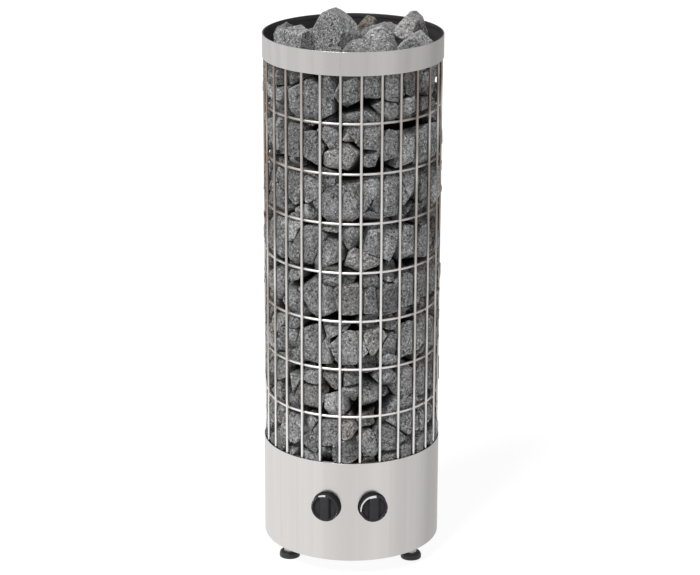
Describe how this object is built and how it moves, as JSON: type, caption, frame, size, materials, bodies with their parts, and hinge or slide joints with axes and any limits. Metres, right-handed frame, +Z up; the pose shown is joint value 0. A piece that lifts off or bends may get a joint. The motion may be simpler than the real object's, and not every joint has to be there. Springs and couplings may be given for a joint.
{
  "type": "sauna heater",
  "caption": "Round pillar sauna heater: steel casing with control knobs on levelling feet, wire cage full of stones around tubular heating elements, plain band at the top.",
  "frame": {"origin": "on the floor, under the axis of the round body", "axes": "+Z up along the body's axis, -Y towards the front with the two knobs, +X to the right of a person facing the front"},
  "size_m": [0.3094, 0.3232, 0.9729],
  "materials": {
    "casing_steel": "satin brushed stainless steel, warm light grey",
    "wire_steel": "drawn stainless wire, welded, slightly browned",
    "zinc_steel": "zinc-plated sheet and fasteners",
    "element_alloy": "dull dark alloy tube",
    "black_plastic": "black satin plastic",
    "pale_ceramic": "pale unglazed insulator",
    "brass": "plain turned brass and copper tube",
    "red_plastic": "red gloss plastic",
    "grey_stone": "speckled grey broken stone"
  },
  "bodies": {
    "heater": {"lower_casing": "casing_steel", "top_band": "casing_steel", "cage_uprights": "wire_steel", "cage_ring_1": "wire_steel", "cage_ring_2": "wire_steel", "cage_ring_3": "wire_steel", "cage_ring_4": "wire_steel", "cage_ring_5": "wire_steel", "cage_ring_6": "wire_steel", "cage_ring_7": "wire_steel", "base_plate": "zinc_steel", "stone_floor": "zinc_steel", "heat_shield": "zinc_steel", "element_plate": "zinc_steel", "control_bracket": "zinc_steel", "casing_screw_1": "zinc_steel", "casing_screw_2": "zinc_steel", "casing_screw_3": "zinc_steel", "foot_nut_1": "zinc_steel", "foot_nut_2": "zinc_steel", "foot_nut_3": "zinc_steel", "heating_element_1": "element_alloy", "heating_element_2": "element_alloy", "heating_element_3": "element_alloy", "overheat_cutout": "black_plastic", "cable_gland": "black_plastic", "gland_lock_nut": "black_plastic", "gland_cap": "black_plastic", "timer_body": "pale_ceramic", "thermostat_body": "pale_ceramic", "terminal_block": "pale_ceramic", "thermostat_sensor": "brass", "stone_tier_1": "grey_stone", "stone_tier_2": "grey_stone", "stone_tier_3": "grey_stone", "stone_tier_4": "grey_stone", "stone_tier_5": "grey_stone", "stone_tier_6": "grey_stone", "crown_stone_1": "grey_stone", "crown_stone_2": "grey_stone", "crown_stone_3": "grey_stone", "crown_stone_4": "grey_stone", "crown_stone_5": "grey_stone", "crown_stone_6": "grey_stone", "crown_stone_7": "grey_stone", "crown_stone_8": "grey_stone", "crown_stone_9": "grey_stone", "crown_stone_10": "grey_stone", "crown_stone_11": "grey_stone"},
    "timer_dial": {"timer_knob": "black_plastic", "timer_shaft": "brass"},
    "thermostat_dial": {"thermostat_knob": "black_plastic", "thermostat_shaft": "brass"},
    "reset": {"reset_button": "red_plastic"},
    "foot_1": {"foot_pad_1": "black_plastic", "foot_stem_1": "zinc_steel"},
    "foot_2": {"foot_pad_2": "black_plastic", "foot_stem_2": "zinc_steel"},
    "foot_3": {"foot_pad_3": "black_plastic", "foot_stem_3": "zinc_steel"}
  },
  "joints": [
    {"name": "timer_turn", "type": "hinge", "parent": "heater", "child": "timer_dial", "pos_m": [-0.03934, -0.14889, 0.1335], "axis": [0.2554, 0.9668, 0], "range_deg": [0, 330]},
    {"name": "thermostat_turn", "type": "hinge", "parent": "heater", "child": "thermostat_dial", "pos_m": [0.03934, -0.14889, 0.1335], "axis": [-0.2554, 0.9668, 0], "range_deg": [0, 290]},
    {"name": "reset_press", "type": "slide", "parent": "heater", "child": "reset", "axis": [0, 0, 1], "range_m": [0, 0.002], "stiffness_N_per_m": 300, "springref_m": -0.001},
    {"name": "foot_1_turn", "type": "hinge", "parent": "heater", "child": "foot_1", "pos_m": [0.10739, -0.062, 0.02], "axis": [0, 0, 1], "range_deg": [-1440, 1440]},
    {"name": "foot_2_turn", "type": "hinge", "parent": "heater", "child": "foot_2", "pos_m": [0, 0.124, 0.02], "axis": [0, 0, 1], "range_deg": [-1440, 1440]},
    {"name": "foot_3_turn", "type": "hinge", "parent": "heater", "child": "foot_3", "pos_m": [-0.10739, -0.062, 0.02], "axis": [0, 0, 1], "range_deg": [-1440, 1440]}
  ]
}
